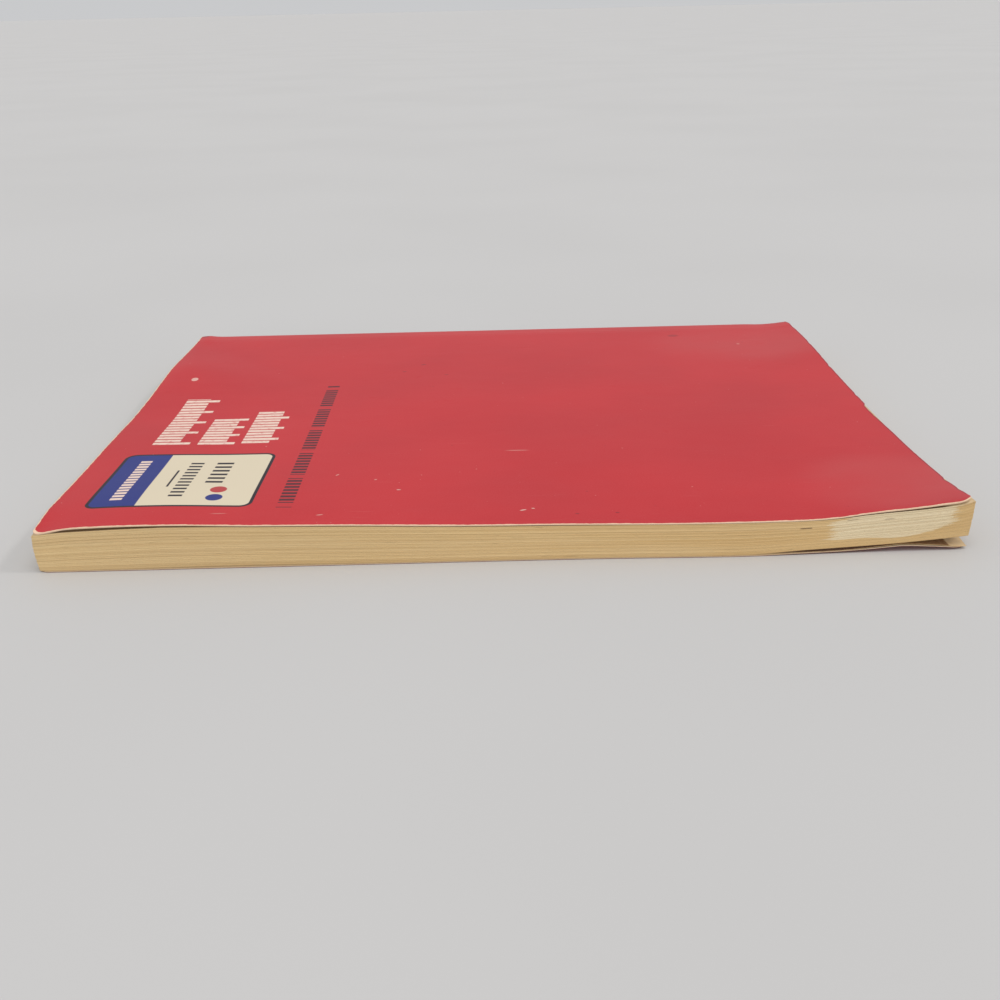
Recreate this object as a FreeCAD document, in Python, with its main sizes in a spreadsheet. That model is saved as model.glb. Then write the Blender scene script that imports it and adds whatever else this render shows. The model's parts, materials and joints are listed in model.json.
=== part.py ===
"""A softcover workbook of letter size, perfect bound: leaves milled and glued at the spine, in a card cover.

Frame: origin under the middle of the closed book, on the surface it lies on. +X runs along the spine from
tail to head, +Y points to the spine, -Y to the fore edge, +Z is up through the back cover, the leaves and the
front cover. Millimetres.

Each leaf turns about the hinge score of the cover, so a section is two pieces here: its glued margin, which
stays in the binding, and its free part, which turns. The block is a little warped: its fore edge rises
towards the head, and it is looser at the tail.
"""
import FreeCAD, Part
import math
import os

import Sketcher

SECTIONS = 12
LEAVES_PER_SECTION = 8

# alias, value in millimetres (or a plain ratio), what it is
DRIVING_SIZES = [
    ("page_length", 279.4, "height of the page, along the spine"),
    ("page_width", 215.9, "spine to fore edge, over the cover"),
    ("score_width", 8.0, "spine face to hinge score"),
    ("hinge_gap", 0.15, "free space at the hinge score"),
    ("cover_thick", 0.30, "card of the cover"),
    ("spine_glue_thick", 0.50, "hot-melt glue behind the leaves"),
    ("side_glue_thick", 0.10, "side glue under the score strips"),
    ("side_glue_width", 6.0, "width of the side glue"),
    ("leaf_thick", 0.10, "one leaf"),
    ("leaf_air", 0.0014, "air between two leaves of a section"),
    ("air_gap", 0.06, "air between two sections"),
    ("spine_radius", 0.4, "rounding of the cover where it folds over the spine"),
    ("lift_start", 70.0, "where the fore edge starts to rise"),
    ("field_tip", 1.0, "narrow end of each field of a bent sheet"),
    ("lift", 3.8, "rise of the fore edge at the head"),
    ("last_leaf_lift", 0.5, "rise of the last leaf, which lies on the back cover"),
    ("tail_swell", 0.08, "share by which the block is looser at the tail"),
    ("head_swell", 0.04, "the same at the head"),
    ("cover_tail_gap", 1.1, "air under the front cover at the tail"),
    ("cover_head_gap", 0.2, "the same at the head"),
]

# alias, formula
WORKED_OUT_SIZES = [
    ("section_thick", f"leaf_thick * {LEAVES_PER_SECTION} + leaf_air * {LEAVES_PER_SECTION - 1}"),
    ("section_pitch", "section_thick + air_gap"),
    ("stack_low", "cover_thick + side_glue_thick"),
    ("first_section_low", "stack_low + leaf_thick + air_gap"),
    ("first_leaf_low", f"first_section_low + {SECTIONS} * section_pitch"),
    ("stack_top", "first_leaf_low + leaf_thick"),
    ("front_cover_low", "stack_top + side_glue_thick"),
    ("book_thick", "front_cover_low + cover_thick"),
    ("spine_y", "page_width / 2"),
    ("hinge_y", "spine_y - score_width"),
    ("bound_y", "spine_y - cover_thick - spine_glue_thick"),
    ("head_x", "page_length / 2"),
]


def fill_sheet(doc):
    """The spreadsheet that every sub-part is bound to: driving sizes, then those worked out from them."""
    sheet = doc.addObject("Spreadsheet::Sheet", "Sizes")
    row = 1
    for alias, value, note in DRIVING_SIZES:
        sheet.set(f"A{row}", note)
        sheet.set(f"B{row}", str(value))
        sheet.setAlias(f"B{row}", alias)
        row += 1
    for alias, formula in WORKED_OUT_SIZES:
        sheet.set(f"A{row}", alias.replace("_", " "))
        sheet.set(f"B{row}", "=" + formula)
        sheet.setAlias(f"B{row}", alias)
        row += 1
    doc.recompute()
    return sheet


def origin_plane(body, role):
    return next(f for f in body.Origin.OriginFeatures if f.Role == role)


def pin_corner(sketch, name, curve, end, across, up):
    """Ties one corner of a sketch to two formulas over the spreadsheet."""
    for axis, kind, line, formula in (("across", "DistanceX", -2, across), ("up", "DistanceY", -1, up)):
        value = sketch.evalExpression(formula)
        if abs(value) < 1e-9:
            sketch.addConstraint(Sketcher.Constraint("PointOnObject", curve, end, line))
            continue
        index = sketch.addConstraint(Sketcher.Constraint(kind, curve, end, value))
        sketch.renameConstraint(index, f"{name}_{axis}")
        sketch.setExpression(f"Constraints.{name}_{axis}", formula)


def tangent_arc(before, start, end):
    """The arc from start to end that leaves start in the direction in which before led to it."""
    along = start.sub(before).normalize()
    normal = FreeCAD.Vector(-along.y, along.x, 0)
    chord = end.sub(start)
    radius = chord.dot(chord) / (2 * chord.dot(normal))
    centre = start.add(normal * radius)
    circle = Part.Circle(centre, FreeCAD.Vector(0, 0, 1), radius)
    first, last = (math.atan2(p.y - centre.y, p.x - centre.x) for p in (start, end))
    return Part.ArcOfCircle(circle, first, last)


def closed_outline(body, name, plane, offset, corners, arcs=()):
    """A closed sketch on a plane of the body, moved along the plane's normal by the formula offset.

    corners are (name, across, up) with formulas for both places. arcs holds pairs of corner numbers: the side
    between them is an arc, tangent at its first corner to the straight side that ends there.
    """
    sketch = body.newObject("Sketcher::SketchObject", name)
    sketch.AttachmentSupport = [(origin_plane(body, plane), "")]
    sketch.MapMode = "FlatFace"
    if offset:
        sketch.setExpression(".AttachmentOffset.Base.z", offset)
    points = [FreeCAD.Vector(sketch.evalExpression(a), sketch.evalExpression(u), 0) for _, a, u in corners]
    count = len(points)
    starts, ends = {}, {}
    for i in range(count):
        j = (i + 1) % count
        if (i, j) in arcs:
            sketch.addGeometry(tangent_arc(points[i - 1], points[i], points[j]), False)
            starts[i], ends[i] = 1, 2
        elif (j, i) in arcs:
            sketch.addGeometry(tangent_arc(points[(j + 1) % count], points[j], points[i]), False)
            starts[i], ends[i] = 2, 1
        else:
            sketch.addGeometry(Part.LineSegment(points[i], points[j]), False)
            starts[i], ends[i] = 1, 2
    smooth = {first for first, last in arcs}
    for i in range(count):
        before = (i - 1) % count
        kind = "Tangent" if i in smooth else "Coincident"
        sketch.addConstraint(Sketcher.Constraint(kind, before, ends[before], i, starts[i]))
    for i, (corner, across, up) in enumerate(corners):
        pin_corner(sketch, corner, i, starts[i], across, up)
    return sketch


def bowed_sheet(doc, label, low, thick, lift="Sizes.lift", tail_gap="0"):
    """A thin sheet from the hinge score to the fore edge, lofted between its two long edges.

    Card and paper bend without stretching, so the sheet has three fields: a level one, a flat one that
    rises to the tail corner of the fore edge, and a cone that rises to its head corner. The two corner fields
    narrow to 1 mm at the score, and the level one narrows to 1 mm at the fore edge.
    """
    body = doc.addObject("PartDesign::Body", label)
    body.Label = label
    high = f"({low} + {thick})"
    score_edge = closed_outline(
        body,
        f"{label}_score_edge",
        "XZ_Plane",
        "-(Sizes.hinge_y - Sizes.hinge_gap)",
        [
            ("tail_low", "-Sizes.head_x", low),
            ("tail_fold_low", "Sizes.field_tip - Sizes.head_x", low),
            ("head_fold_low", "Sizes.head_x - Sizes.field_tip", low),
            ("head_low", "Sizes.head_x", low),
            ("head_high", "Sizes.head_x", high),
            ("head_fold_high", "Sizes.head_x - Sizes.field_tip", high),
            ("tail_fold_high", "Sizes.field_tip - Sizes.head_x", high),
            ("tail_high", "-Sizes.head_x", high),
        ],
    )
    fore_edge = closed_outline(
        body,
        f"{label}_fore_edge",
        "XZ_Plane",
        "Sizes.spine_y",
        [
            ("tail_low", "-Sizes.head_x", f"{low} * (1 + Sizes.tail_swell) + {tail_gap}"),
            ("tail_fold_low", "Sizes.lift_start", low),
            ("head_fold_low", "Sizes.lift_start + Sizes.field_tip", low),
            ("head_low", "Sizes.head_x", f"{low} * (1 + Sizes.head_swell) + {lift}"),
            ("head_high", "Sizes.head_x", f"{high} * (1 + Sizes.head_swell) + {lift}"),
            ("head_fold_high", "Sizes.lift_start + Sizes.field_tip", high),
            ("tail_fold_high", "Sizes.lift_start", high),
            ("tail_high", "-Sizes.head_x", f"{high} * (1 + Sizes.tail_swell) + {tail_gap}"),
        ],
        arcs=((2, 3), (5, 4)),
    )
    loft = body.newObject("PartDesign::AdditiveLoft", f"{label}_loft")
    loft.Profile = score_edge
    loft.Sections = [fore_edge]
    loft.Ruled = True
    body.Tip = loft
    return body


def strip(doc, label, y_low, y_high, low, thick):
    """A flat strip over the whole page length, between two places across the book."""
    box = doc.addObject("Part::Box", label)
    box.Label = label
    for name, formula in (
        ("Length", "Sizes.page_length"),
        ("Width", f"({y_high}) - ({y_low})"),
        ("Height", thick),
        ("Placement.Base.x", "-Sizes.head_x"),
        ("Placement.Base.y", y_low),
        ("Placement.Base.z", low),
    ):
        box.setExpression(name, formula)
    return box


def cover_spine(doc):
    """The middle of the cover: over the spine, and 8 mm round to the score on each side."""
    body = doc.addObject("PartDesign::Body", "cover_spine")
    body.Label = "cover_spine"
    outer, score = "Sizes.spine_y", "Sizes.hinge_y"
    inner = "Sizes.spine_y - Sizes.cover_thick"
    top, under_top = "Sizes.book_thick", "Sizes.front_cover_low"
    corners = [
        ("back_edge", score, "0"),
        ("back_fold", outer, "0"),
        ("front_fold", outer, top),
        ("front_edge", score, top),
        ("front_edge_in", score, under_top),
        ("front_fold_in", inner, under_top),
        ("back_fold_in", inner, "Sizes.cover_thick"),
        ("back_edge_in", score, "Sizes.cover_thick"),
    ]
    profile = closed_outline(body, "cover_spine_profile", "YZ_Plane", "", corners)
    pad = body.newObject("PartDesign::Pad", "cover_spine_pad")
    pad.Profile = profile
    pad.Midplane = True
    pad.setExpression("Length", "Sizes.page_length")
    doc.recompute()
    spine_y = pad.evalExpression(outer)
    folds = []
    for number, edge in enumerate(pad.Shape.Edges, start=1):
        places = [v.Point for v in edge.Vertexes]
        on_spine = all(abs(p.y - spine_y) < 1e-6 for p in places)
        if on_spine and abs(places[0].z - places[1].z) < 1e-6:
            folds.append(f"Edge{number}")
    fold_rounding = body.newObject("PartDesign::Fillet", "cover_spine_folds")
    fold_rounding.Base = (pad, folds)
    fold_rounding.setExpression("Radius", "Sizes.spine_radius")
    body.Tip = fold_rounding
    return body


def section_low(number):
    """Formula for the underside of a section at the spine. Section 1 lies under the front cover."""
    return f"Sizes.first_section_low + {SECTIONS - number} * Sizes.section_pitch"


def leaf_margins(doc):
    """The glued margin of every leaf and section, in the binding, as a group of separate solids."""
    levels = [("first_leaf", "Sizes.first_leaf_low", "Sizes.leaf_thick")]
    for number in range(1, SECTIONS + 1):
        levels.append((f"section_{number:02d}", section_low(number), "Sizes.section_thick"))
    levels.append(("last_leaf", "Sizes.stack_low", "Sizes.leaf_thick"))
    group = doc.addObject("Part::Compound", "leaf_margins")
    group.Label = "leaf_margins"
    group.Links = [
        strip(doc, f"{name}_margin", "Sizes.hinge_y", "Sizes.bound_y", low, thick)
        for name, low, thick in levels
    ]
    return group


def side_glue(doc, label, low):
    y_low = "Sizes.bound_y - Sizes.side_glue_width"
    return strip(doc, label, y_low, "Sizes.bound_y", low, "Sizes.side_glue_thick")


def build(doc):
    """Every sub-part of the book, as the list of objects whose labels name the files."""
    parts = [
        cover_spine(doc),
        strip(
            doc,
            "spine_glue",
            "Sizes.bound_y",
            "Sizes.bound_y + Sizes.spine_glue_thick",
            "Sizes.cover_thick",
            "Sizes.front_cover_low - Sizes.cover_thick",
        ),
        side_glue(doc, "front_side_glue", "Sizes.stack_top"),
        side_glue(doc, "back_side_glue", "Sizes.cover_thick"),
        leaf_margins(doc),
        strip(
            doc,
            "back_cover",
            "-Sizes.spine_y",
            "Sizes.hinge_y - Sizes.hinge_gap",
            "0",
            "Sizes.cover_thick",
        ),
        bowed_sheet(doc, "last_leaf", "Sizes.stack_low", "Sizes.leaf_thick", lift="Sizes.last_leaf_lift"),
        bowed_sheet(doc, "first_leaf", "Sizes.first_leaf_low", "Sizes.leaf_thick"),
        bowed_sheet(
            doc,
            "front_cover",
            "Sizes.front_cover_low",
            "Sizes.cover_thick",
            lift="Sizes.lift + Sizes.cover_head_gap",
            tail_gap="Sizes.cover_tail_gap",
        ),
    ]
    for number in range(1, SECTIONS + 1):
        parts.append(bowed_sheet(doc, f"section_{number:02d}", section_low(number), "Sizes.section_thick"))
    doc.recompute()
    return parts


def check(doc, parts):
    """Stops before anything is written if an object failed or a sub-part is not a sound solid."""
    failed = [o.Label for o in doc.Objects if {"Invalid", "Error"} & set(o.State)]
    if failed:
        raise RuntimeError(f"failed to recompute: {failed}")
    for part in parts:
        shape = part.Shape
        if shape.isNull() or not shape.isValid() or not shape.Solids or shape.Volume <= 0:
            raise RuntimeError(f"{part.Label} is not a valid solid")


def main():
    doc = FreeCAD.newDocument("workbook")
    fill_sheet(doc)
    parts = build(doc)
    check(doc, parts)
    os.makedirs("parts", exist_ok=True)
    for part in parts:
        part.Shape.exportStep(f"parts/{part.Label}.step")
        box = part.Shape.BoundBox
        print(
            f"{part.Label}: {len(part.Shape.Solids)} solid(s), {part.Shape.Volume / 1000:.2f} cm3, "
            f"Y {box.YMin:.2f} to {box.YMax:.2f}, Z {box.ZMin:.3f} to {box.ZMax:.3f}"
        )


main()
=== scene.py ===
import json
import math

import bpy
import numpy as np
from mathutils import Matrix, Vector


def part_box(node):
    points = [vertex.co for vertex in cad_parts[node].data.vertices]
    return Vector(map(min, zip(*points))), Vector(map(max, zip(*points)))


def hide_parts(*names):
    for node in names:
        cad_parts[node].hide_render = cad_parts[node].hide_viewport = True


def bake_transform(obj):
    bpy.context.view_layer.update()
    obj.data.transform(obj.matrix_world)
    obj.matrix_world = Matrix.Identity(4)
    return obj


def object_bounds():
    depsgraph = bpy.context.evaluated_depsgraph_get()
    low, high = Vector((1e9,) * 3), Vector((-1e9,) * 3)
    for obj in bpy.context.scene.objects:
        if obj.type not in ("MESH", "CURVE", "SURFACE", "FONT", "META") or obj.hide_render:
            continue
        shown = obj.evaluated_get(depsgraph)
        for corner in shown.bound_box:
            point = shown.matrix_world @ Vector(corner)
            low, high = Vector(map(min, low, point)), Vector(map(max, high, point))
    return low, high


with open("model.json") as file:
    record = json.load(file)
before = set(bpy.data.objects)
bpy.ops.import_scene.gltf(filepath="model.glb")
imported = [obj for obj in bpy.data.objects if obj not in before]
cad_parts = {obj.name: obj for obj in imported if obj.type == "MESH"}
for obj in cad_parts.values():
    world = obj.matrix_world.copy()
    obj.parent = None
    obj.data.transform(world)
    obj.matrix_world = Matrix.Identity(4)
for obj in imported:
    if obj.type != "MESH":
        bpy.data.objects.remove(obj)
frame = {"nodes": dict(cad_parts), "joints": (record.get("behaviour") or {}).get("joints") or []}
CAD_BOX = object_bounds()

MM = 0.001
LOW, HIGH = ([c / MM for c in corner] for corner in CAD_BOX)
X_TAIL, X_HEAD, Y_FORE, Y_SPINE = LOW[0], HIGH[0], LOW[1], HIGH[1]
JOINTS = {j["name"]: j for j in frame["joints"]}
HINGE_Y, TOP = (c / MM for c in JOINTS["front_cover_turn"]["pos_m"][1:])
SPAN = HINGE_Y - Y_FORE
MARGIN_LOW, MARGIN_HIGH = ([c / MM for c in corner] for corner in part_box("leaf_margins"))
BLOCK_LOW, BLOCK_TOP, BOUND_Y = MARGIN_LOW[2], MARGIN_HIGH[2], MARGIN_HIGH[1]
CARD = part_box("back_cover")[1][2] / MM
SECTIONS = 12
LEAVES = 8
LEAF_SHARE = 0.86  # of the space between two leaves, the part that is paper
FOLD_RADIUS = 0.9  # where the cover goes round the spine
BEND_LENGTH = 14.0  # of paper that bends when a leaf turns
CORNER_RADIUS = 3.0  # of the cover's worn corners at the fore edge
END_THICKENING = 0.3  # share by which the worn card is thicker at the two ends of its fore edge
HEAD_CRUSH = 1.3  # how far the head end of the spine is knocked in


# ---------------------------------------------------------------- shapes of the warped book


def smooth_curve(x, places, values):
    """A curve without corners through the given points, level beyond them."""
    places, values = np.array(places, float), np.array(values, float)
    slopes = np.gradient(values, places)
    slopes[0] = slopes[-1] = 0.0
    i = np.clip(np.searchsorted(places, x) - 1, 0, len(places) - 2)
    width = places[i + 1] - places[i]
    t = np.clip((x - places[i]) / width, 0, 1)
    before = (2 * t**3 - 3 * t**2 + 1) * values[i] + (t**3 - 2 * t**2 + t) * width * slopes[i]
    after = (3 * t**2 - 2 * t**3) * values[i + 1] + (t**3 - t**2) * width * slopes[i + 1]
    return before + after


def smoothstep(x, low, high):
    """Rises from 0 at low to 1 at high, level at both ends."""
    t = np.clip((x - low) / (high - low), 0, 1)
    return t * t * (3 - 2 * t)


def hump(x, centre, width):
    """A bell of height 1 round its centre."""
    return np.exp(-(((x - centre) / width) ** 2))


def from_tail(x, share):
    """Where the fold line from the spine's tail corner through a point reaches the fore edge."""
    return X_TAIL + (x - X_TAIL) / np.maximum(share, 0.02)


def from_head(x, share):
    """The same for the head end, whose curl is wider towards the spine."""
    return X_HEAD - (X_HEAD - x) / (0.3 + 0.7 * share)


def edge_share(s, edge):
    """Height along one of the two edges below, as a share of its height at the fore edge."""
    return smooth_curve(s, *edge) / edge[1][-1]


# How far the front cover stands above its level at the spine, by distance from the score along the tail edge
# and the head edge.
TAIL_EDGE = (
    [0, 12, 27, 47, 62, 80, 104, 130, 160, 190, 208],
    [0.1, 0.4, 0.95, 1.6, 1.1, 0.4, 0.1, 0.9, 1.7, 2.7, 2.9],
)
HEAD_EDGE = (
    [0, 8, 24, 41, 56, 75, 105, 125, 141, 153, 165, 177, 189, 200, 208],
    [0.3, 0.9, 1.25, 0.9, 0.3, -0.15, -0.35, -0.3, 0.0, 0.3, 0.75, 1.35, 2.3, 3.8, 4.8],
)
# The same by place along the fore edge: at the tail for the cover and the first leaf, and at the head for the
# cover, the first leaf and the last.
TAIL_SWELL = (
    [-140, -130, -118, -102, -75, -45, -15, 14, 44, 82],
    [2.6, 3.0, 3.35, 3.35, 2.5, 1.85, 0.9, 0.45, 0.0, 0.0],
)
LEAF_SWELL = (
    [-140, -134, -124, -110, -102, -75, -45, -15, 14, 44, 82],
    [1.1, 1.85, 2.35, 2.8, 2.95, 2.35, 1.75, 0.8, 0.35, 0.0, 0.0],
)
HEAD_CURL = ([84, 94, 100, 106, 112, 123, 132, 140], [0.0, 0.15, 0.55, 1.3, 1.95, 2.95, 4.0, 4.8])
LEAF_CURL = ([84, 94, 100, 106, 112, 123, 132, 137, 140], [0.0, 0.1, 0.45, 1.15, 1.7, 2.5, 3.4, 4.0, 4.8])
LOW_CURL = ([72, 88, 103, 117, 129, 140], [0.0, 0.9, 1.5, 2.15, 3.1, 4.0])


def cover_rise(x, s):
    """How far the front cover stands above its level at the spine."""
    share = np.clip(s / SPAN, 0.0, None)
    tail = edge_share(s, TAIL_EDGE) * smooth_curve(from_tail(x, share), *TAIL_SWELL)
    head = edge_share(s, HEAD_EDGE) * smooth_curve(from_head(x, share), *HEAD_CURL)
    waves = 0.10 * np.sin(x / 21 + s / 34) + 0.07 * np.sin(x / 13 - s / 19 + 1)
    waves = waves + 0.05 * np.sin(x / 34 + s / 11)
    calm = smoothstep(s, 4, 60) * smoothstep(-s, 4 - SPAN, 40 - SPAN)
    droop = 1.2 * smoothstep(-x, 127, 140) * smoothstep(s, SPAN - 16, SPAN)
    score = -0.06 * hump(s, 0.0, 0.7) + 0.05 * hump(s, 32 + x / 20, 1.5) * hump(x, -50, 40)
    return tail + head + waves * calm + score - droop


def up_the_block(height):
    """0 at the bottom of the block of leaves, 1 at its top."""
    return (height - BLOCK_LOW) / (BLOCK_TOP - BLOCK_LOW)


def leaf_rise(x, s, height):
    """How far a leaf stands above its height at the spine. The top leaf nearly follows the cover."""
    share = np.clip(s / SPAN, 0.0, None)
    up = up_the_block(height)
    tail = (0.9 * edge_share(s, TAIL_EDGE) + 0.1 * share) * smooth_curve(from_tail(x, share), *LEAF_SWELL)
    head = edge_share(s, HEAD_EDGE) * smooth_curve(from_head(x, share), *LEAF_CURL)
    low = share**3 * smooth_curve(from_head(x, share), *LOW_CURL)
    lift = 0.3 * hump(x, -80, 28) * smoothstep(s, SPAN - 40, SPAN)
    return up * (tail + head) + (1 - up) * (low + lift)


def back_rise(x, s):
    """How far the back cover stands off the table: its fore edge is bent up a little near the head."""
    edge = smooth_curve(x, [74, 88, 103, 112, 119, 126, 132, 140], [0, 0.3, 0.6, 1.1, 1.65, 1.4, 1.0, 0.45])
    return edge * smoothstep(s, SPAN - 26, SPAN) ** 1.5


def fore_bulge(x, s):
    """The book is a little racked, so that its fore edge stands out towards the head."""
    return hump(x, 72, 32) * smoothstep(s, SPAN - 110, SPAN)


# ---------------------------------------------------------------- meshes


class Shell:
    """Closed sheets gathered into one mesh. Each has a grid of points on its front and one on its back."""

    def __init__(self):
        self.points, self.rest, self.faces, self.slots = [], [], [], []
        self.count = 0

    def add(self, front, back, front_rest, back_rest, slots=(0, 0, 1)):
        """Slots are the material numbers of the front, the back and the edge."""
        rows, columns = front.shape[:2]
        number = np.arange(rows * columns).reshape(rows, columns) + self.count
        shift = rows * columns
        corners = [number[:-1, :-1], number[:-1, 1:], number[1:, 1:], number[1:, :-1]]
        upper = np.stack(corners, -1).reshape(-1, 4)
        rim = np.concatenate([number[0, :-1], number[:-1, -1], number[-1, :0:-1], number[:0:-1, 0]])
        follow = np.roll(rim, -1)
        walls = np.stack([follow, rim, rim + shift, follow + shift], -1)
        lower = upper[:, [0, 3, 2, 1]] + shift
        self.points += [front.reshape(-1, 3), back.reshape(-1, 3)]
        self.rest += [front_rest.reshape(-1, 3), back_rest.reshape(-1, 3)]
        self.faces += [upper, lower, walls]
        self.slots += [np.full(len(f), k) for f, k in zip((upper, lower, walls), slots)]
        self.count += 2 * shift

    def object(self, name, materials, edge_slot=1):
        """Makes the piece, with sharp cut edges. Each point keeps its flat place, for the materials."""
        points = np.concatenate(self.points) * MM
        faces = np.concatenate(self.faces)
        slots = np.concatenate(self.slots)
        mesh = bpy.data.meshes.new(name)
        mesh.from_pydata(points.tolist(), [], faces.tolist())
        mesh.polygons.foreach_set("material_index", slots.astype(np.int32))
        mesh.polygons.foreach_set("use_smooth", slots != edge_slot)
        rest = mesh.attributes.new("rest", "FLOAT_VECTOR", "POINT")
        rest.data.foreach_set("vector", np.concatenate(self.rest).astype(np.float32).ravel())
        for material in materials:
            mesh.materials.append(material)
        mesh.update()
        piece = bpy.data.objects.new(name, mesh)
        bpy.context.scene.collection.objects.link(piece)
        return piece


def with_edges(low, high, step, fine):
    """Grid lines from low to high: fine ones near both ends, given by their distances from the end."""
    steps = max(1, round((high - low - 2 * fine[-1]) / step))
    inner = np.linspace(low + fine[-1], high - fine[-1], steps + 1)
    return np.concatenate([low + np.array(fine[:-1]), inner, (high - np.array(fine[:-1]))[::-1]])


def round_corner(x, y, corner_x, corner_y, radius):
    """Moves grid points near a square corner onto a rounded one."""
    inward_x, inward_y = -math.copysign(1, corner_x), -math.copysign(1, corner_y)
    a = 1 - (x - corner_x) * inward_x / radius
    b = 1 - (y - corner_y) * inward_y / radius
    near = (a > 0) & (b > 0)
    a2, b2 = a * np.sqrt(np.clip(1 - b * b / 2, 0, 1)), b * np.sqrt(np.clip(1 - a * a / 2, 0, 1))
    x2 = corner_x + (1 - a2) * radius * inward_x
    y2 = corner_y + (1 - b2) * radius * inward_y
    return np.where(near, x2, x), np.where(near, y2, y)


def worn_outline(x, y, rng, nicks, torn=0.0):
    """Wears the outline of a cover panel: rounded corners, frayed edges, and nicks and a tear at the head."""
    x, y = round_corner(x, y, X_HEAD, Y_FORE, 1.6 * CORNER_RADIUS)
    x, y = round_corner(x, y, X_TAIL, Y_FORE, CORNER_RADIUS)
    fray = [rng.normal(0, 0.02, size) for size in (x.shape[0], x.shape[0], x.shape[1])]
    bite = sum(depth * hump(y, place, width) for place, width, depth in nicks)
    bite = bite + torn * smoothstep(-y, 8, 10) * smoothstep(y, -40, -12)
    x = x - (bite + fray[0][:, None]) * smoothstep(x, X_HEAD - 3.5, X_HEAD)
    x = x - (0.15 + fray[1][:, None]) * smoothstep(-x, X_HEAD - 2.0, X_HEAD)
    y = y + np.abs(fray[2]) * smoothstep(-y, -Y_FORE - 1.5, -Y_FORE)
    return x, y


# ---------------------------------------------------------------- materials


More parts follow.
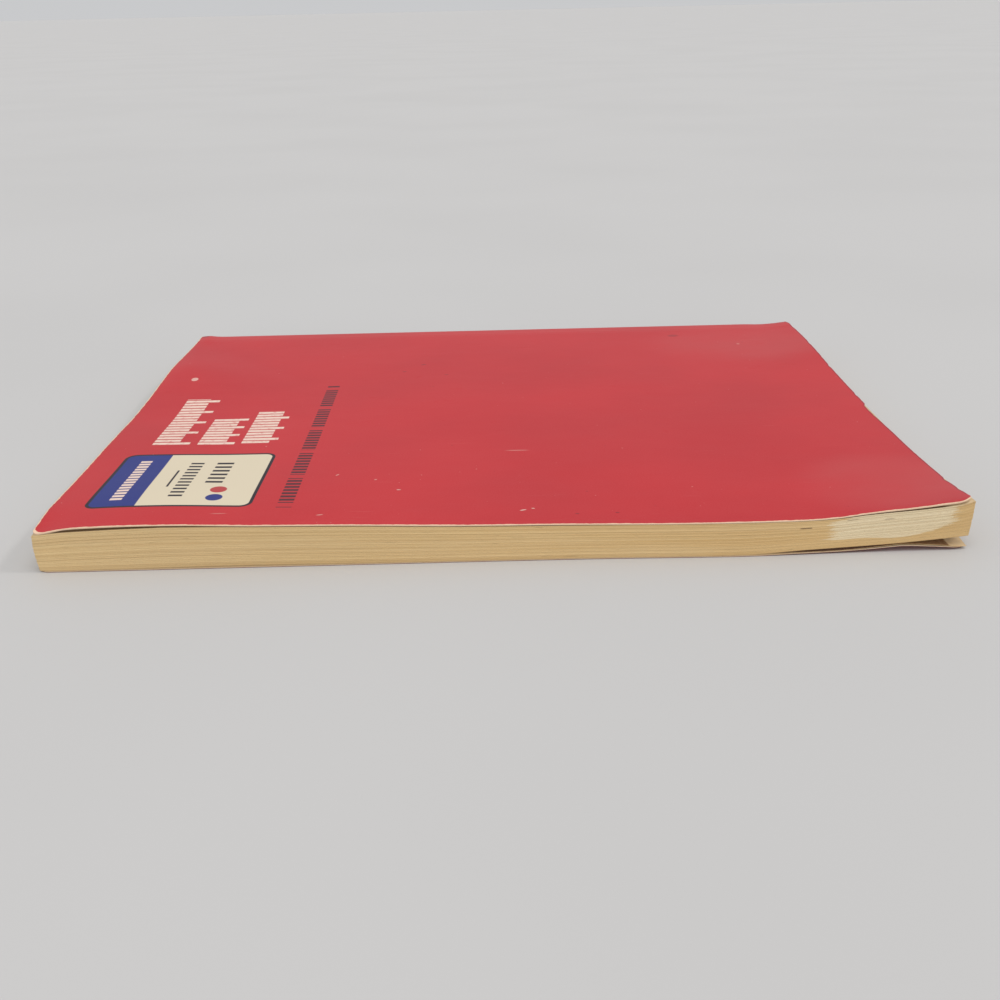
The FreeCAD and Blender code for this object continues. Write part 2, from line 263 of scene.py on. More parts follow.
class Look:
    """A material's nodes. What makes a colour or a mask returns a socket, and takes sockets or numbers."""

    def __init__(self, name):
        self.material = bpy.data.materials.new(name)
        self.material.use_nodes = True
        self.tree = self.material.node_tree
        self.shader = self.tree.nodes["Principled BSDF"]
        rest = self.node("Attribute", attribute_name="rest")
        self.rest = rest.outputs["Vector"]
        parts = self.node("SeparateXYZ")
        self.link(self.rest, parts.inputs[0])
        self.x, self.y, self.z = parts.outputs
        self.from_middle = self.math("ABSOLUTE", self.x)

    def use_object_place(self):
        """For a mesh without rest places: noise follows its own coordinates, in millimetres."""
        place = self.node("TexCoord")
        self.rest = self.vector("MULTIPLY", place.outputs["Object"], (1 / MM, 1 / MM, 1 / MM))

    def node(self, kind, **settings):
        made = self.tree.nodes.new("ShaderNode" + kind)
        for key, value in settings.items():
            setattr(made, key, value)
        return made

    def link(self, value, socket):
        if isinstance(value, bpy.types.NodeSocket):
            self.tree.links.new(value, socket)
        elif isinstance(value, (tuple, list)) and len(value) == 3 and len(socket.default_value) == 4:
            socket.default_value = (*value, 1)
        else:
            socket.default_value = value

    def math(self, operation, *values):
        made = self.node("Math", operation=operation)
        for value, socket in zip(values, made.inputs):
            self.link(value, socket)
        return made.outputs[0]

    def vector(self, operation, *values):
        made = self.node("VectorMath", operation=operation)
        for value, socket in zip(values, made.inputs):
            self.link(value, socket)
        return made.outputs["Value" if operation == "LENGTH" else "Vector"]

    def subtract(self, first, second):
        return self.math("SUBTRACT", first, second)

    def ramp(self, value, low, high, to_low=0.0, to_high=1.0):
        """Turns a value from low to high smoothly into one from to_low to to_high."""
        made = self.node("MapRange", interpolation_type="SMOOTHSTEP")
        for v, socket in zip((value, low, high, to_low, to_high), made.inputs):
            self.link(v, socket)
        return made.outputs[0]

    def mix(self, share, first, second):
        """Blends two colours: first at a share of 0, second at 1."""
        made = self.node("Mix", data_type="RGBA")
        for value, socket in ((share, made.inputs[0]), (first, made.inputs[6]), (second, made.inputs[7])):
            self.link(value, socket)
        return made.outputs[2]

    def noise(self, stretch, detail=2.0, rough=0.5, seed=0.0):
        """Noise from 0 to 1. Stretch is the length of its features along x, y and z, in millimetres."""
        placed = self.node("Mapping", vector_type="POINT")
        self.link(self.rest, placed.inputs["Vector"])
        placed.inputs["Scale"].default_value = [1 / length for length in stretch]
        placed.inputs["Location"].default_value = (seed, seed * 1.7, seed * 2.3)
        made = self.node("TexNoise")
        self.link(placed.outputs[0], made.inputs["Vector"])
        made.inputs["Scale"].default_value = 1.0
        made.inputs["Detail"].default_value = detail
        made.inputs["Roughness"].default_value = rough
        return made.outputs["Fac"]

    def both(self, *masks):
        """Where all masks are, as an and. A number among them weakens the result."""
        made = masks[0]
        for mask in masks[1:]:
            made = self.math("MULTIPLY", made, mask)
        return made

    def either(self, *masks):
        """Where any mask is, as an or."""
        made = masks[0]
        for mask in masks[1:]:
            made = self.math("MAXIMUM", made, mask)
        return made

    def between(self, value, low, high, soft=0.12):
        """1 from low to high and 0 outside, with soft ends."""
        rise = self.ramp(value, low - soft, low + soft)
        return self.both(rise, self.ramp(value, high - soft, high + soft, 1.0, 0.0))

    def panel(self, x0, x1, y0, y1, radius):
        """Distance outside a rounded rectangle, negative within it."""
        centre = ((x0 + x1) / 2, (y0 + y1) / 2, 0)
        half = ((x1 - x0) / 2 - radius, (y1 - y0) / 2 - radius, 0)
        flat = self.vector("MULTIPLY", self.rest, (1.0, 1.0, 0.0))
        beyond = self.vector("SUBTRACT", self.vector("ABSOLUTE", self.vector("SUBTRACT", flat, centre)), half)
        outside = self.vector("LENGTH", self.vector("MAXIMUM", beyond, (0.0, 0.0, 0.0)))
        return self.math("SUBTRACT", outside, radius)

    def dashes(self, x0, x1, y0, y1, pitch, width):
        """A row of short bars from y0 to y1, each from x0 to x1."""
        step = self.math("DIVIDE", self.math("SUBTRACT", self.y, y0), pitch)
        phase = self.math("MULTIPLY", self.math("FRACT", step), pitch)
        bars = self.between(phase, 0.15, 0.15 + width, 0.1)
        return self.both(bars, self.between(self.x, x0, x1), self.between(self.y, y0, y1, 0.05))

    def spot(self, x, y, length, width, angle=0.0, crisp=False):
        """An oval mark."""
        placed = self.node("Mapping", vector_type="TEXTURE")
        self.link(self.rest, placed.inputs["Vector"])
        placed.inputs["Location"].default_value = (x, y, 0)
        placed.inputs["Rotation"].default_value = (0, 0, math.radians(angle))
        placed.inputs["Scale"].default_value = (length / 2, width / 2, 1e6)
        return self.ramp(self.vector("LENGTH", placed.outputs[0]), 0.92 if crisp else 0.5, 1.04, 1.0, 0.0)

    def bump(self, height, distance, strength=1.0, under=None):
        made = self.node("Bump")
        made.inputs["Strength"].default_value = strength
        made.inputs["Distance"].default_value = distance * MM
        self.link(height, made.inputs["Height"])
        if under is not None:
            self.link(under, made.inputs["Normal"])
        return made.outputs[0]

    def finish(self, colour, roughness, normal=None, **constants):
        self.link(colour, self.shader.inputs["Base Color"])
        self.link(roughness, self.shader.inputs["Roughness"])
        if normal is not None:
            self.link(normal, self.shader.inputs["Normal"])
        for name, value in constants.items():
            self.shader.inputs[name.replace("_", " ")].default_value = value
        return self.material


# Colours of the printed card.
RED = (0.535, 0.022, 0.029)
RED_DARK = (0.48, 0.019, 0.026)
RED_PATCH = (0.62, 0.12, 0.12)
RED_FIBRE = (0.70, 0.16, 0.15)
RED_FADED = (0.62, 0.30, 0.28)
RED_FOLD = (0.60, 0.30, 0.28)
RED_SCUFF = (0.66, 0.42, 0.36)
RED_DENT = (0.10, 0.02, 0.025)
RED_EDGE_SHADE = (0.16, 0.02, 0.045)
DOT_RED = (0.46, 0.05, 0.05)
CREAM = (0.70, 0.61, 0.45)
BLUE = (0.020, 0.032, 0.20)
INK = (0.020, 0.014, 0.022)
PRINT_WHITE = (0.82, 0.63, 0.53)
# Of its bare inside and cut edges.
CARD_WHITE = (0.82, 0.59, 0.41)
CARD_GREY = (0.62, 0.52, 0.36)
CARD_STAIN = (0.60, 0.44, 0.26)
CONTACT_SHADE_PAINTED = (0.09, 0.015, 0.02)
CARD_DIRT = (0.16, 0.05, 0.05)
# Of the leaves' sides.
PAPER = (0.76, 0.69, 0.53)
PAPER_CLOUD = (0.72, 0.63, 0.46)
PAPER_BROWNED_AND_SHADED = (0.56, 0.36, 0.16)
PAPER_FIBRE = (0.62, 0.52, 0.36)
FORM_LINE = (0.22, 0.23, 0.27)
# Painted shade under the front cover's fore edge, and the block's painted shadow on the last leaf.
GAP_SHADE_PAINTED = (0.12, 0.055, 0.018)
SHADOW_DEEP_PAINTED = (0.07, 0.018, 0.012)
SHADOW_PAINTED = (0.15, 0.060, 0.016)
# Of the leaves' cut edges.
EDGE_LIGHT = (0.86, 0.63, 0.32)
EDGE_DARK = (0.70, 0.47, 0.21)
EDGE_TAIL = (0.88, 0.69, 0.38)
EDGE_HEAD = (0.66, 0.44, 0.19)
EDGE_DRIFT = (0.84, 0.64, 0.36)
EDGE_RUBBED = (0.93, 0.81, 0.57)
EDGE_RUBBED_DARK = (0.84, 0.72, 0.48)
EDGE_LINE = (0.40, 0.25, 0.11)
EDGE_GRAIN = (0.42, 0.26, 0.10)
EDGE_GAP_SHADE = (0.12, 0.06, 0.03)
# Of the glue and the floor.
GLUE_LIGHT = (0.62, 0.50, 0.28)
GLUE_DARK = (0.48, 0.34, 0.15)
FLOOR_LIGHT = (0.560, 0.555, 0.550)
FLOOR_DARK = (0.545, 0.540, 0.535)

# Places on the front cover: the label's sides, the line between its two fields, and the boxes of the bars
# that stand for printed words, each as x0, x1, y0, y1, pitch and width.
LABEL = (-129.0, -77.5, -94.3, -46.6)
LABEL_CORNER = 3.8
FIELD_LINE = -113.2
FIELD_BARS = [(-104.8, -100.4, -86.5, -54.0, 2.95, 1.35), (-96.0, -90.4, -74.6, -53.5, 3.5, 1.6)]
FIELD_RULE = (-107.6, -106.9, -78.0, -62.8)
DOT_X, DOT_SIZE = -90.2, 5.4
DOTS = [(-80.4, DOT_RED), (-87.0, BLUE)]
BLUE_BARS = (-122.4, -118.6, -88.5, -52.4, 2.4, 1.6)
TITLE_BARS = [
    (-92.2, -82.4, -36.2, -0.6, 2.95, 2.15),
    (-107.6, -97.8, -37.0, -8.4, 2.9, 2.15),
    (-123.6, -114.4, -36.8, 14.8, 3.0, 2.15),
    (-92.2, -79.6, -33.3, -0.6, 11.8, 2.15),
    (-107.6, -94.6, -37.0, -8.4, 8.7, 2.15),
    (-123.6, -110.4, -36.8, 14.8, 12.0, 2.15),
]
SMALL_BARS = (-69.6, -64.8, -95.0, 29.5, 2.6, 1.6)
SMALL_WORD, SMALL_SPACE = 23.6, 0.13  # length of a group of small bars, and the share of it that is a space
CHIP = (-126.2, 37.6, 2.8, 4.0)  # a pale spot beside the title
# Marks on the front cover: how strong, and x, y, length, width and angle of the spot.
SCUFFS = [
    (1.0, 6.1, -97.4, 2.6, 0.9, 20),
    (1.0, 9.2, -96.2, 1.4, 0.7, -15),
    (0.7, -33.0, -80.6, 1.8, 1.0, 0),
    (0.6, -41.1, -72.1, 1.4, 0.8, 40),
    (0.6, -54.0, -68.1, 2.2, 0.8, 60),
    (0.7, -55.4, -100.6, 2.6, 0.7, 12),
    (0.35, 109.0, 75.0, 1.8, 2.6, 0),
    (0.6, 5.8, -47.1, 10.0, 0.6, -3),
    (0.5, -86, -99.5, 6.0, 0.5, 4),
]
DENTS = [
    (0.6, -31.7, 54.8, 3.0, 1.4, 20),
    (0.5, -39.3, 45.5, 2.4, 1.2, 0),
    (0.5, -21.3, 39.9, 2.2, 1.0, 0),
    (0.35, 82.1, 90.5, 6.0, 4.5, 10),
    (0.45, -137.5, 106.0, 4.0, 2.5, 10),
    (0.6, 22.4, -100.4, 1.6, 0.9, 0),
    (0.6, 34.6, -99.8, 1.6, 0.9, 0),
]
# The pale rubbed patch on the fore edge, along x.
PATCH_START, PATCH_END = 98.5, 134.4
# Splits in the fore edge, painted dark as shade: how strong, from and to along x, how soft their ends are,
# and from and to up the block.
SPLITS = [
    (1.0, 88.2, 91.6, 0.3, 0.74, 0.775),
    (0.55, 102.0, 105.3, 0.5, 0.895, 0.925),
    (0.55, 113.2, 116.0, 0.5, 0.795, 0.825),
]


def printed_words(look, colour):
    """The front cover's label panel and title, with rows of plain bars instead of words."""
    label = look.panel(*LABEL, LABEL_CORNER)
    field = look.mix(look.ramp(look.x, FIELD_LINE - 0.1, FIELD_LINE + 0.2), BLUE, CREAM)
    x0, x1, y0, y1 = FIELD_RULE
    rule = look.both(look.between(look.x, x0, x1), look.between(look.y, y0, y1))
    field = look.mix(look.either(*(look.dashes(*bars) for bars in FIELD_BARS), rule), field, INK)
    for y, tone in DOTS:
        field = look.mix(look.spot(DOT_X, y, DOT_SIZE, DOT_SIZE, crisp=True), field, tone)
    field = look.mix(look.dashes(*BLUE_BARS), field, PRINT_WHITE)
    title = look.either(*(look.dashes(*bars) for bars in TITLE_BARS))
    word = look.math("FRACT", look.math("DIVIDE", look.y, SMALL_WORD))
    small = look.both(look.dashes(*SMALL_BARS), look.math("GREATER_THAN", word, SMALL_SPACE))
    rubbed = look.ramp(look.noise((2.2, 2.2, 2.2), 4, 0.7, 9), 0.32, 0.50, 0.55, 1.0)
    colour = look.mix(look.both(title, rubbed), colour, PRINT_WHITE)
    colour = look.mix(look.both(small, 0.88), colour, INK)
    colour = look.mix(look.ramp(label, -0.1, 0.15, 1.0, 0.0), colour, INK)
    colour = look.mix(look.ramp(label, -1.15, -0.95, 1.0, 0.0), colour, field)
    return look.mix(look.both(look.spot(*CHIP, crisp=True), 0.6), colour, PRINT_WHITE)


def printed_cover(name, front):
    """Varnished red card, worn and scuffed. The front has the label and the title."""
    look = Look(name)
    mottle = look.noise((60, 45, 45), 3, 0.5)
    fibre = look.noise((0.5, 0.5, 0.5), 3, 0.6)
    patches = look.noise((9, 7, 9), 3, 0.65, 4)
    colour = look.mix(look.ramp(mottle, 0.25, 0.8), RED, RED_DARK)
    colour = look.mix(look.ramp(patches, 0.45, 0.9, 0.0, 0.07), colour, RED_PATCH)
    colour = look.mix(look.ramp(fibre, 0.35, 0.8, 0.0, 0.10), colour, RED_FIBRE)
    faded = look.either(look.spot(122, -84, 64, 56), look.spot(110, 75, 100, 60))
    colour = look.mix(look.both(faded, look.ramp(mottle, 0.2, 0.7), 0.09), colour, RED_FADED)
    if front:
        colour = printed_words(look, colour)
    colour = look.mix(look.ramp(look.y, HINGE_Y - 0.4, HINGE_Y + 0.8, 0.0, 0.07), colour, RED_FOLD)
    scratch = look.both(
        look.ramp(look.noise((26, 0.4, 0.4), 1, 0.5, 21), 0.74, 0.80),
        look.ramp(look.noise((34, 26, 30), 1, 0.5, 33), 0.45, 0.60),
    )
    specks = look.ramp(look.noise((1.3, 1.3, 1.3), 1, 0.5, 40), 0.79, 0.83)
    pale = look.either(look.both(scratch, 0.20), look.both(specks, 0.6))
    dark = look.both(look.ramp(look.noise((3.0, 2.4, 3.0), 2, 0.5, 52), 0.76, 0.82), 0.35)
    if front:
        pale = look.either(pale, *(look.both(look.spot(*mark), strength) for strength, *mark in SCUFFS))
        dark = look.either(dark, *(look.both(look.spot(*mark), strength) for strength, *mark in DENTS))
    # Painted shade: a thin dark line along the head and tail edges and over the spine's fold, where the far
    # edges turn into shade.
    ends = look.ramp(look.from_middle, X_HEAD - 0.9, X_HEAD - 0.2)
    ends = look.both(ends, look.ramp(look.y, Y_FORE + 4, Y_FORE + 9))
    fold = look.both(look.ramp(look.y, Y_SPINE - 1.3, Y_SPINE - 0.4), look.ramp(look.z, TOP - 1.0, TOP - 0.3))
    colour = look.mix(look.both(look.either(ends, fold), 0.45), colour, RED_EDGE_SHADE)
    colour = look.mix(dark, colour, RED_DENT)
    colour = look.mix(pale, colour, RED_SCUFF)
    outline = look.panel(X_TAIL - 0.05, X_HEAD + 0.45, Y_FORE, -2 * Y_FORE, 4.0)
    ragged = look.math("MULTIPLY", look.noise((2.6, 2.6, 2.6), 4, 0.7, 60), 0.95)
    worn = look.ramp(look.math("ADD", outline, ragged), 0.0, 0.16)
    colour = look.mix(worn, colour, CARD_WHITE)
    tooth = look.bump(fibre, 0.03, 0.5)
    relief = look.bump(look.noise((26, 18, 20), 2, 0.5, 70), 0.5, 0.35, tooth)
    relief = look.bump(pale, 0.05, 0.6, relief)
    relief = look.bump(dark, -0.08, 0.6, relief)
    roughness = look.ramp(look.either(worn, look.ramp(patches, 0.5, 0.9, 0.0, 0.4)), 0.0, 1.0, 0.46, 0.78)
    varnish = {"Specular_IOR_Level": 0.22, "Coat_Weight": 0.03, "Coat_Roughness": 0.35}
    return look.finish(colour, roughness, relief, **varnish)


def bare_card(name, tone, coarse, shade_below=False):
    """Uncoated side or cut edge of the card, dirty at the tail and the head. An edge shaded below is darkened
    on its lower half, as painted contact shade where it stands on the table.
    """
    look = Look(name)
    fibre = look.noise((coarse, coarse, coarse), 4, 0.65)
    stain = look.noise((25, 25, 25), 3, 0.6, 5)
    colour = look.mix(look.ramp(fibre, 0.3, 0.75), tone, tuple(c * 0.82 for c in tone))
    colour = look.mix(look.ramp(stain, 0.45, 0.8, 0.0, 0.5), colour, CARD_STAIN)
    if shade_below:
        # Painted shade: the lower half of the edge darkened, for the contact shade where the back cover meets
        # the table.
        colour = look.mix(look.ramp(look.z, CARD * 0.5, CARD * 0.6, 1.0, 0.0), colour, CONTACT_SHADE_PAINTED)
    ends = look.ramp(look.from_middle, X_HEAD - 1.5, X_HEAD - 0.7)
    dirt = look.both(ends, look.ramp(look.y, Y_FORE + 8, Y_FORE + 45, 0.0, 0.8))
    colour = look.mix(look.both(dirt, look.ramp(stain, 0.2, 0.55, 0.45, 1.0)), colour, CARD_DIRT)
    return look.finish(colour, look.ramp(fibre, 0.2, 0.8, 0.75, 0.95), look.bump(fibre, 0.04, 0.6))


def page_face(name, cover_shade=False, block_shadow=False):
    """Printed side of a leaf: faintly ruled form lines on paper that browns towards its edges.

    The browning towards the edges is partly painted shade. The first leaf has a strip of painted shade along
    its fore edge, under the front cover, and the last leaf has the block's shadow painted there near the
    head.
    """
    look = Look(name)
    fibre = look.noise((0.35, 0.35, 0.35), 4, 0.6)
    cloud = look.noise((40, 40, 2), 3, 0.6, 3)
    to_edge = look.math("MINIMUM", look.subtract(look.y, Y_FORE), look.subtract(X_HEAD, look.from_middle))
    colour = look.mix(look.ramp(cloud, 0.3, 0.75), PAPER, PAPER_CLOUD)
    frayed = look.math("ADD", to_edge, look.math("MULTIPLY", cloud, 6.0))
    # Real browning towards the edges, made darker as painted shade for the shaded gaps at the leaves' edges.
    colour = look.mix(look.ramp(frayed, 1.0, 13.0, 0.85, 0.0), colour, PAPER_BROWNED_AND_SHADED)
    if cover_shade:
        # Painted shade: a dark strip along the fore edge, where the front cover shades the leaf.
        shade_strip = look.ramp(look.y, Y_FORE + 0.8, Y_FORE + 2.6, 1.0, 0.0)
        colour = look.mix(look.both(shade_strip, look.between(look.x, -133, 132, 2), 0.92), colour, GAP_SHADE_PAINTED)
    if block_shadow:
        # Painted shadow: the block's shadow on the last leaf near the head, dark brown with a crisp end on
        # the head side.
        under_block = look.both(look.ramp(look.x, 74, 92), look.ramp(look.x, 133.6, 134.4, 1.0, 0.0))
        shade_strip = look.ramp(look.y, Y_FORE + 8, Y_FORE + 11, 1.0, 0.0)
        shadow_tone = look.mix(look.ramp(look.x, 108, 124), SHADOW_DEEP_PAINTED, SHADOW_PAINTED)
        colour = look.mix(look.both(under_block, shade_strip, 0.93), colour, shadow_tone)
    colour = look.mix(look.ramp(fibre, 0.4, 0.8, 0.0, 0.25), colour, PAPER_FIBRE)
    rows = look.math("MULTIPLY", look.math("FRACT", look.math("DIVIDE", look.x, 8.0)), 8.0)
    columns = look.math("MULTIPLY", look.math("FRACT", look.math("DIVIDE", look.y, 34.0)), 34.0)
    form = look.both(look.between(look.x, -118, 112, 0.1), look.between(look.y, -92, 78, 0.1))
    lines = look.either(look.between(rows, 0.1, 0.4, 0.08), look.between(columns, 0.1, 0.45, 0.08))
    colour = look.mix(look.both(form, lines, 0.55), colour, FORM_LINE)
    return look.finish(colour, 0.85, look.bump(fibre, 0.02, 0.5), Specular_IOR_Level=0.3)


def page_edge():
    """Cut edges of the leaves: tan, streaked leaf by leaf, with a pale rubbed patch near the head."""
    look = Look("leaf_edge")
    fine = look.noise((260, 200, 0.22), 2, 0.6)
    leaf = look.noise((240, 200, 0.45), 3, 0.7, 3)
    grain = look.noise((8, 30, 0.14), 3, 0.7, 7)
    drift = look.noise((60, 60, 5), 3, 0.55, 11)
    colour = look.mix(look.ramp(leaf, 0.35, 0.65), EDGE_LIGHT, EDGE_DARK)
    colour = look.mix(look.ramp(look.x, -140, 60, 0.45, 0.0), colour, EDGE_TAIL)
    colour = look.mix(look.ramp(look.x, 0, 120, 0.0, 0.45), colour, EDGE_HEAD)
    colour = look.mix(look.ramp(drift, 0.4, 0.75, 0.0, 0.4), colour, EDGE_DRIFT)
    up = look.math("DIVIDE", look.subtract(look.z, BLOCK_LOW), BLOCK_TOP - BLOCK_LOW)
    jag = look.subtract(look.noise((300, 500, 0.5), 4, 0.8, 17), 0.5)
    tooth = look.subtract(look.noise((300, 500, 0.3), 3, 0.7, 29), 0.5)
    ragged = look.math("MULTIPLY", look.subtract(look.noise((1.6, 60, 0.25), 3, 0.7, 23), 0.5), 2.5)
    along = look.math("ADD", look.x, ragged)
    start = look.ramp(up, 0.90, 0.97, PATCH_START, PATCH_START + 3.5)
    start = look.math("ADD", start, look.math("MULTIPLY", jag, 26))
    end = look.ramp(up, 0.22, 0.50, PATCH_END - 9.4, PATCH_END)
    end = look.math("ADD", end, look.math("MULTIPLY", tooth, 16))
    from_belly = look.math("ABSOLUTE", look.subtract(look.x, 118))
    low = look.subtract(0.28, look.ramp(from_belly, 0, 12, 0.08, 0.0))
    inside = look.both(
        look.ramp(look.subtract(along, start), -0.15, 0.15),
        look.ramp(look.subtract(end, along), -0.15, 0.15),
        look.ramp(look.subtract(up, low), -0.01, 0.01),
        look.ramp(look.y, Y_FORE + 1.0, Y_FORE + 2.0, 1.0, 0.0),
    )
    pale = look.mix(look.ramp(leaf, 0.3, 0.7), EDGE_RUBBED, EDGE_RUBBED_DARK)
    colour = look.mix(inside, colour, pale)
    colour = look.mix(look.ramp(fine, 0.50, 0.64, 0.0, 0.38), colour, EDGE_LINE)
    colour = look.mix(look.ramp(grain, 0.52, 0.85, 0.0, 0.35), colour, EDGE_GRAIN)
    # Painted shade: dark lines for the gaps between leaves and the splits in the block.
    gap_shade = look.both(
        look.ramp(look.noise((9, 60, 0.22), 1, 0.5, 31), 0.70, 0.74),
        look.ramp(look.noise((30, 60, 3), 1, 0.5, 37), 0.45, 0.60),
    )
    splits = [
        look.both(look.between(look.x, x0, x1, soft), look.between(up, low, high, 0.006), strength)
        for strength, x0, x1, soft, low, high in SPLITS
    ]
    colour = look.mix(look.both(look.either(gap_shade, *splits), 0.85), colour, EDGE_GAP_SHADE)
    relief = look.bump(leaf, 0.05, 0.6, look.bump(grain, 0.04, 0.5))
    return look.finish(colour, 0.88, relief, Specular_IOR_Level=0.2)


def hot_melt():
    """Old hot-melt glue: ivory, waxy, with drag marks."""
    look = Look("hot_melt")
    look.use_object_place()
    cloud = look.noise((6, 2, 1.5), 4, 0.6)
    drag = look.noise((12, 0.4, 0.4), 3, 0.6, 4)
    colour = look.mix(look.ramp(cloud, 0.3, 0.75), GLUE_LIGHT, GLUE_DARK)
    return look.finish(colour, look.ramp(drag, 0.2, 0.8, 0.45, 0.7), look.bump(drag, 0.08, 0.7))


def floor_paper():
    """Matt white paper under the book."""
    look = Look("floor_paper")
    look.use_object_place()
    cloud = look.noise((300, 260, 200), 2, 0.5)
    tooth = look.noise((1.2, 1.2, 1.2), 3, 0.6)
    colour = look.mix(look.ramp(cloud, 0.35, 0.7), FLOOR_LIGHT, FLOOR_DARK)
    return look.finish(colour, 0.75, look.bump(tooth, 0.03, 0.3), Specular_IOR_Level=0.3)


# ---------------------------------------------------------------- the cover


# Nicks in the head edge: where along y, how wide and how deep.
FRONT_NICKS = [(38.5, 1.6, 0.35), (-86.2, 1.6, 0.6), (-96.5, 1.2, 0.5), (70.0, 1.8, 0.3), (3.0, 1.2, 0.3)]
BACK_NICKS = [(-60, 2.5, 0.5), (20, 2.0, 0.4)]
# Distances from an edge of the cover at which its grid has lines.
EDGE_LINES = (0, 0.2, 0.45, 0.8, 1.3, 2.0, 3.0, 4.5, 6.5)


def spine_end_wear(x):
    """How far the cover's fold stands up at the two ends of the spine, where it is bumped and crumpled."""
    head = 0.5 * smoothstep(x, X_HEAD - 10, X_HEAD) - 0.2 * hump(x, X_HEAD - 14, 4)
    return 0.55 * hump(x, X_TAIL + 3.5, 3.0) + head


def panel_lines(middle):
    """Distances from the score at which a cover panel's grid has lines, middle of them evenly spaced."""
    near_score = [0, 0.2, 0.45, 0.75, 1.1, 1.5, 2.0, 2.6, 3.4, 4.5, 6.0, 8.0]
    near_edge = SPAN - np.array(EDGE_LINES[-2::-1])
    return np.concatenate([near_score, np.linspace(10.5, SPAN - EDGE_LINES[-1], middle), near_edge])


def spine_section():
    """The cover's section from the back score to the fore edge: y, z and the direction out of the card."""
    r, y0 = FOLD_RADIUS, Y_SPINE - FOLD_RADIUS
    turn = np.linspace(0, math.pi / 2, 7)[1:]
    path = [(y, 0.0, 0.0, -1.0) for y in np.linspace(HINGE_Y + 1, y0, 6)]
    path += [(y0 + r * math.sin(a), r - r * math.cos(a), math.sin(a), -math.cos(a)) for a in turn]
    path += [(Y_SPINE, z, 1.0, 0.0) for z in np.linspace(r, TOP - r, 12)[1:]]
    path += [(y0 + r * math.cos(a), TOP - r + r * math.sin(a), math.cos(a), math.sin(a)) for a in turn]
    hinge_lines = [HINGE_Y + d for d in (5, 3.5, 2.2, 1.4, 0.9, 0.5, 0.2)]
    return path + [(y, TOP, 0.0, 1.0) for y in hinge_lines + list(HINGE_Y - panel_lines(76))]


def front_and_spine():
    """The cover from the back score, round the spine and over the front, as one bent sheet."""
    path = spine_section()
    y, z, out_y, out_z = (np.array(column)[:, None] for column in zip(*path))
    across = with_edges(X_TAIL, X_HEAD, 3.0, EDGE_LINES)
    x = np.broadcast_to(across, (len(path), len(across)))
    y, z = np.broadcast_to(y, x.shape).copy(), np.broadcast_to(z, x.shape).copy()
    on_front = (out_z > 0.99) & np.ones(x.shape, bool)
    s = HINGE_Y - y
    rest = np.stack([x, y, z], -1)
    top_side = smoothstep(z, TOP * 0.6, TOP)
    wrinkle = 0.05 * np.sin(x / 1.7 + 3 * np.sin(x / 9)) * (hump(x, X_TAIL, 12) + hump(x, X_HEAD, 14))
    crumple = (spine_end_wear(x) + wrinkle) * top_side * smoothstep(s, 16, -7)
    z = z + np.where(on_front, cover_rise(x, np.maximum(s, -6)), 0) + crumple
    y = y - 0.06 * np.sin(x / 31) * np.where(out_y > 0.5, 1.0, 0.0)
    x2, y2 = worn_outline(x, y, np.random.default_rng(5), FRONT_NICKS, torn=0.9)
    y2 = y2 - fore_bulge(x, s)
    crushed = smoothstep(x, X_HEAD - 2.5, X_HEAD) * smoothstep(-s, 4, Y_SPINE - HINGE_Y) * top_side
    x2 = x2 - HEAD_CRUSH * crushed
    front = np.stack([x2, y2, z], -1)
    ends = smoothstep(np.abs(x), 100, 124)
    card = CARD * (1 + END_THICKENING * ends * smoothstep(s, SPAN - 7, SPAN) * on_front)
    back = np.stack([x2, y2 - card * out_y, z - card * out_z], -1)
    shell = Shell()
    shell.add(front, back, rest, rest, (0, 1, 2))
    return shell.object("cover_front_and_spine", [COVER_FRONT, CARD_INSIDE, CARD_EDGE], 2)


def back_panel():
    """The cover under the block, from just behind the back score to the fore edge."""
    lines = np.concatenate([[-1.0, -0.5], panel_lines(60)])
    across = with_edges(X_TAIL, X_HEAD, 3.6, EDGE_LINES)[::-1]
    x = np.broadcast_to(across, (len(lines), len(across)))
    s = np.broadcast_to(lines[:, None], x.shape)
    y = HINGE_Y - s
    z = back_rise(x, s)
    rest = np.stack([x, y, np.zeros_like(x)], -1)
    x2, y2 = worn_outline(x, y, np.random.default_rng(6), BACK_NICKS)
    y2 = y2 - fore_bulge(x, s)
    outside = np.stack([x2, y2, z], -1)
    shell = Shell()
    shell.add(outside, outside + [0, 0, CARD], rest, rest + [0, 0, CARD], (0, 1, 2))
    return shell.object("cover_back", [COVER_BACK, CARD_INSIDE, CONTACT_SHADED_EDGE], 2)


# ---------------------------------------------------------------- the leaves


ROUNDING = 0.35  # of a leaf's corners


def leaf_grid(rng):
    """Grid of one leaf, tail to head and bound edge to fore edge. No two leaves are cut quite alike."""
    middle, curl = np.linspace(-130, 60, 14), np.linspace(72, X_HEAD - 3, 12)
    across = np.concatenate([[X_TAIL, X_TAIL + 3], middle, curl, [X_HEAD]])
    bend, flat = np.linspace(0, BEND_LENGTH, 9), np.linspace(28, SPAN - 24, 8)
    down = np.concatenate([[HINGE_Y - BOUND_Y, -3.5], bend, flat, [SPAN - 14, SPAN - 6, SPAN]])
    x = np.broadcast_to(across, (len(down), len(across))).copy()
    s = np.broadcast_to(down[:, None], x.shape).copy()
    inset = np.clip(rng.normal(0, 0.07, 3), -0.15, 0.15)
    x[:, 0] += inset[0]
    x[:, -1] -= abs(inset[1])
    s[-1] -= abs(inset[2])
    x[-1, [0, -1]] += [ROUNDING, -ROUNDING]
    s[-1, [0, -1]] -= ROUNDING
    return x, s


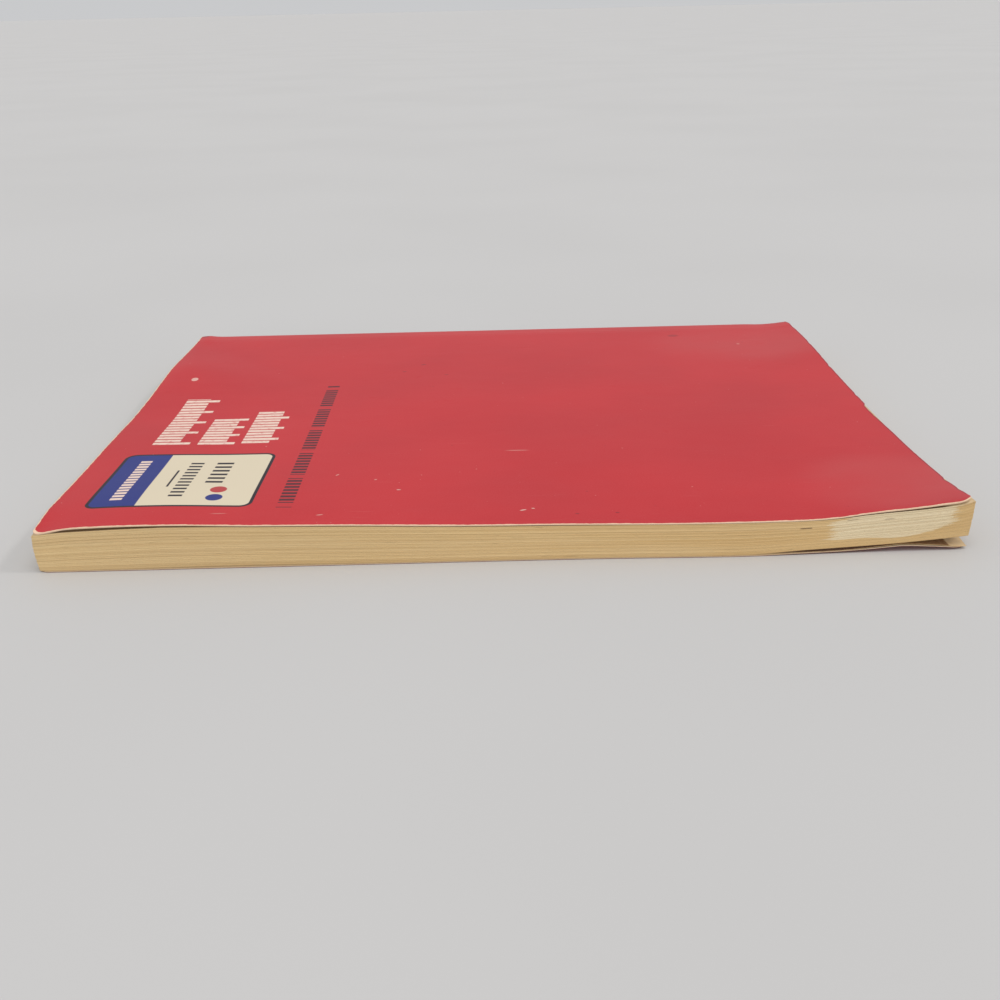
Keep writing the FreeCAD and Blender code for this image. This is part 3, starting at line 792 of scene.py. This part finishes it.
def leaf_lean(x, up):
    """How far the leaves' ends lean towards the tail at the fore edge: the trim there isn't quite upright."""
    tail = 0.35 + 0.35 * hump(up, 0.6, 0.35) - 0.35 * (1 - up) ** 4
    head = 0.5 * (1 - up) ** 2 - 0.45
    return tail * smoothstep(-x, 60, 139) + head * smoothstep(x, 60, 139)


def leaf_sheets(name, node, low, count, pitch, thick, seed, face, rise=leaf_rise):
    """A stack of leaves as thin closed sheets, in one piece that bends from the binding to its own body."""
    rng = np.random.default_rng(seed)
    shell = Shell()
    for number in range(count):
        bottom = low + number * pitch
        x, s = leaf_grid(rng)
        up = up_the_block(bottom)
        y = HINGE_Y - s - fore_bulge(x, s)
        z = bottom + rise(x, s, bottom)
        level = np.full_like(x, bottom)
        x = x - leaf_lean(x, up) * smoothstep(s, SPAN - 60, SPAN)
        shell.add(
            np.stack([x, y, z + thick], -1),
            np.stack([x, y, z], -1),
            np.stack([x, y, level + thick], -1),
            np.stack([x, y, level], -1),
        )
    piece = shell.object(name, [face, LEAF_EDGE])
    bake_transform(piece)
    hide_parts(node, "leaf_margins")
    return piece


def last_leaf_rise(x, s, height):
    """The last leaf lies on the back cover, and curls off it a little at the fore edge."""
    curl = smooth_curve(x, [100, 123, 131, 139.7], [0.0, 0.32, 0.2, 0.05]) * smoothstep(s, SPAN - 12, SPAN)
    return back_rise(x, s) + curl


# ---------------------------------------------------------------- camera, light and floor


CAMERA_PLACE = (-2.83, -396.86, 151.55)  # millimetres
CAMERA_TURN = (0.37, 24.44, -1.276)  # yaw to the right, pitch down and roll, in degrees
CAMERA_LENS, CAMERA_FRAME = 39.0, 36.0  # millimetres


def camera():
    """A plain camera at the fore edge's side, some 0.42 m from the book's middle."""
    yaw, pitch, roll = (math.radians(a) for a in CAMERA_TURN)
    forward = Vector((math.sin(yaw) * math.cos(pitch), math.cos(yaw) * math.cos(pitch), -math.sin(pitch)))
    level = Vector((math.cos(yaw), -math.sin(yaw), 0))
    upright = level.cross(forward)
    right = math.cos(roll) * level + math.sin(roll) * upright
    up = -math.sin(roll) * level + math.cos(roll) * upright
    data = bpy.data.cameras.new("camera")
    data.sensor_width, data.lens = CAMERA_FRAME, CAMERA_LENS
    data.clip_start, data.clip_end = 0.01, 100
    made = bpy.data.objects.new("camera", data)
    turn = Matrix((right, up, -forward)).transposed().to_4x4()
    made.matrix_world = Matrix.Translation(Vector(CAMERA_PLACE) * MM) @ turn
    bpy.context.scene.collection.objects.link(made)
    bpy.context.scene.camera = made


def surround():
    """A pale room, as bright as the floor, so that no horizon shows."""
    world = bpy.data.worlds.new("surround")
    bpy.context.scene.world = world
    world.use_nodes = True
    background = world.node_tree.nodes["Background"]
    background.inputs["Color"].default_value = (0.97, 0.98, 1.0, 1)
    background.inputs["Strength"].default_value = 0.60


def sun(name, direction, strength, spread, colour):
    """A distant light. Spread is how wide it looks, in degrees: a wide one casts soft shadows."""
    data = bpy.data.lights.new(name, "SUN")
    data.energy, data.angle, data.color = strength, math.radians(spread), colour
    made = bpy.data.objects.new(name, data)
    made.rotation_mode = "QUATERNION"
    made.rotation_quaternion = Vector(direction).to_track_quat("-Z", "Y")
    bpy.context.scene.collection.objects.link(made)


FLOOR_REACH = 80.0  # metres, so that its far edge doesn't show


def studio():
    """A wide pale floor, with broad soft light from above, the head end and the front."""
    mesh = bpy.data.meshes.new("floor")
    sides = (-FLOOR_REACH, FLOOR_REACH)
    mesh.from_pydata([(x, y, 0.0) for y in sides for x in sides], [], [(0, 1, 3, 2)])
    mesh.materials.append(floor_paper())
    floor = bpy.data.objects.new("floor", mesh)
    bpy.context.scene.collection.objects.link(floor)
    surround()
    sun("above", (-0.10, 0.25, -1.0), 1.17, 50, (1.0, 0.98, 0.96))
    sun("window", (-0.90, 0.05, -0.85), 0.48, 6, (1.0, 0.975, 0.95))
    sun("front", (0.05, 1.00, -0.22), 0.50, 20, (1.0, 0.97, 0.93))
    bpy.context.scene.view_settings.view_transform = "Standard"


# ---------------------------------------------------------------- build


COVER_FRONT = printed_cover("cover_front", True)
COVER_BACK = printed_cover("cover_back_print", False)
CARD_INSIDE = bare_card("card_inside", CARD_GREY, 0.6)
CARD_EDGE = bare_card("card_edge", CARD_WHITE, 0.25)
# The back cover's edge carries painted contact shade on its lower half.
CONTACT_SHADED_EDGE = bare_card("shaded_card_edge", CARD_WHITE, 0.25, shade_below=True)
LEAF_FACE = page_face("leaf_face")
# The first leaf carries a strip of painted shade under the front cover's fore edge.
FIRST_FACE = page_face("first_leaf_face", cover_shade=True)
# The last leaf carries the block's painted shadow near the head.
LAST_FACE = page_face("last_leaf_face", block_shadow=True)
LEAF_EDGE = page_edge()
GLUE = hot_melt()

front = front_and_spine()
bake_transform(front)
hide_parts("cover_spine", "front_cover")

back = back_panel()
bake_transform(back)
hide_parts("back_cover")

section_lows = {n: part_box(f"section_{n:02d}")[0][2] / MM for n in range(1, SECTIONS + 1)}
section_pitch = section_lows[1] - section_lows[2]
leaf_pitch = section_pitch / LEAVES
leaf_thick = leaf_pitch * LEAF_SHARE
for number, low in section_lows.items():
    node = f"section_{number:02d}"
    leaf_sheets(f"{node}_leaves", node, low, LEAVES, leaf_pitch, leaf_thick, 100 + number, LEAF_FACE)
leaf_sheets("first_leaf_sheet", "first_leaf", BLOCK_TOP - leaf_thick, 1, 0, leaf_thick, 90, FIRST_FACE)
leaf_sheets("last_leaf_sheet", "last_leaf", BLOCK_LOW, 1, 0, leaf_thick, 91, LAST_FACE, last_leaf_rise)

for node in ("spine_glue", "front_side_glue", "back_side_glue"):
    frame["nodes"][node].material_slots[0].material = GLUE

studio()
camera()
